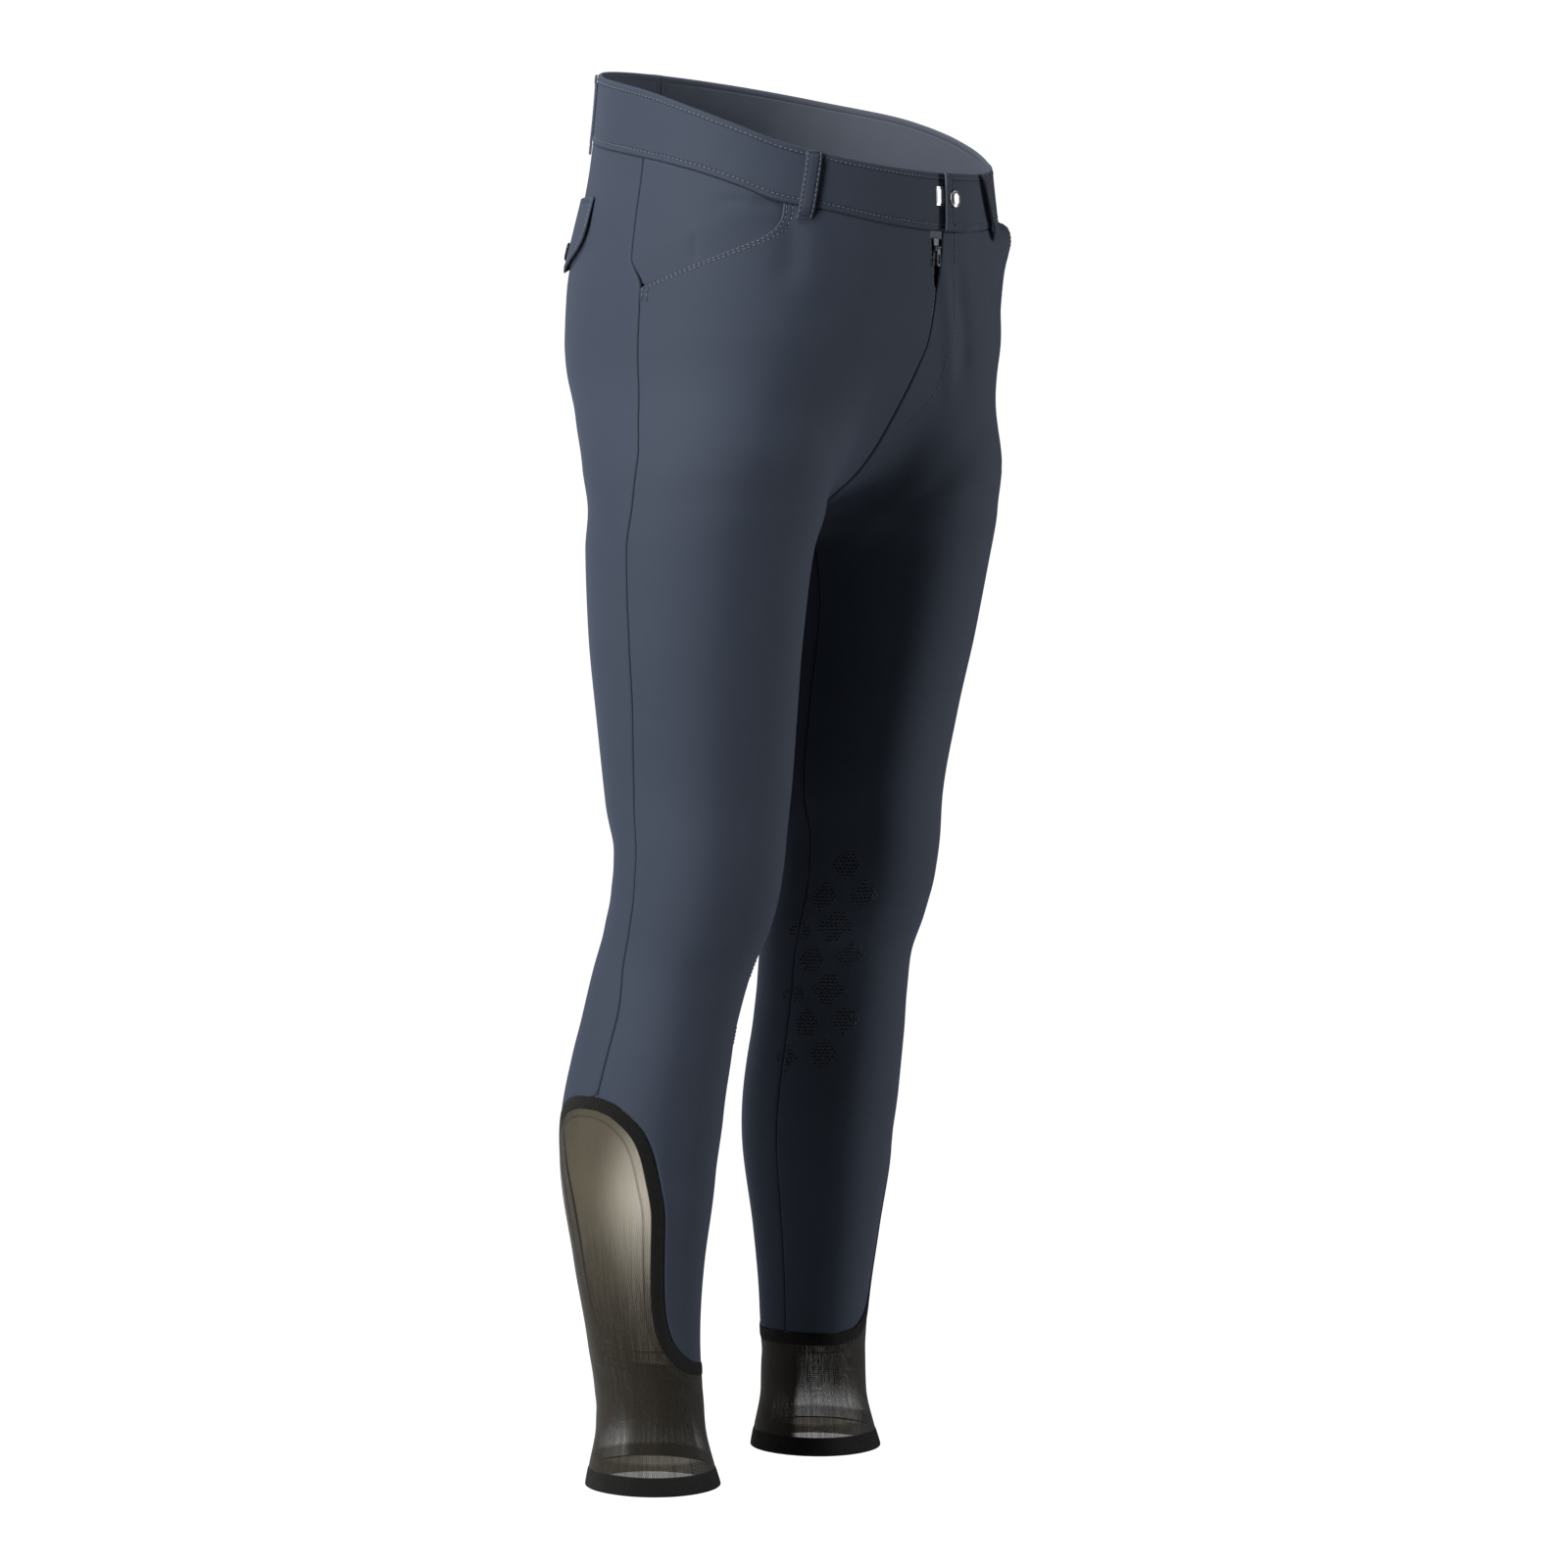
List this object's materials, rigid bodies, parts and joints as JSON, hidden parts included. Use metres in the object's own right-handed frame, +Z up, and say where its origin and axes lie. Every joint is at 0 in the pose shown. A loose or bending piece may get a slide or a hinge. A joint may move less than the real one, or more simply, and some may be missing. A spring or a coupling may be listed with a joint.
{
  "type": "riding breeches",
  "caption": "Slim dark riding breeches with a waistband, belt loops, fly zip, pockets, and sheer mesh cuffs with a tongue up the outer calf.",
  "frame": {"origin": "the centre of the waist, half way up the waistband at its sides, where the garment is held", "axes": "+Z up along the body, -Y to the wearer's front, -X to the wearer's right"},
  "size_m": [0.364, 0.2784, 1.0225],
  "materials": {
    "cloth": "smooth soft technical stretch cloth, dark slate navy",
    "mesh": "sheer black knitted mesh",
    "trim": "matte black elastic knit",
    "zip": "woven tape",
    "metal": "satin silver",
    "snap": "plain dark snap"
  },
  "bodies": {
    "breeches": {"front_right": "cloth", "front_left": "cloth", "back_right": "cloth", "back_left": "cloth", "pocket_facing_right": "cloth", "pocket_facing_left": "cloth", "waistband_right": "cloth", "waistband_left": "cloth", "pocket_flap_right": "cloth", "pocket_flap_left": "cloth", "flap_snap_right": "snap", "flap_snap_left": "snap", "belt_loop_front_right": "cloth", "belt_loop_front_left": "cloth", "belt_loop_back_right": "cloth", "belt_loop_back_left": "cloth", "belt_loop_centre_back": "cloth", "zip_tape": "zip", "zip_slider": "metal", "waist_hook": "metal", "snap_cap": "metal", "mesh_cuff_right": "mesh", "mesh_cuff_left": "mesh", "cuff_binding_right": "trim", "cuff_binding_left": "trim", "hem_band_right": "trim", "hem_band_left": "trim"},
    "pull_tab": {"zip_pull_tab": "metal"}
  },
  "joints": [
    {"name": "pull_tab_hinge", "type": "hinge", "parent": "breeches", "child": "pull_tab", "pos_m": [-0.0025, -0.13086, -0.0826], "axis": [-1, 0, 0], "range_deg": [0, 100]}
  ]
}
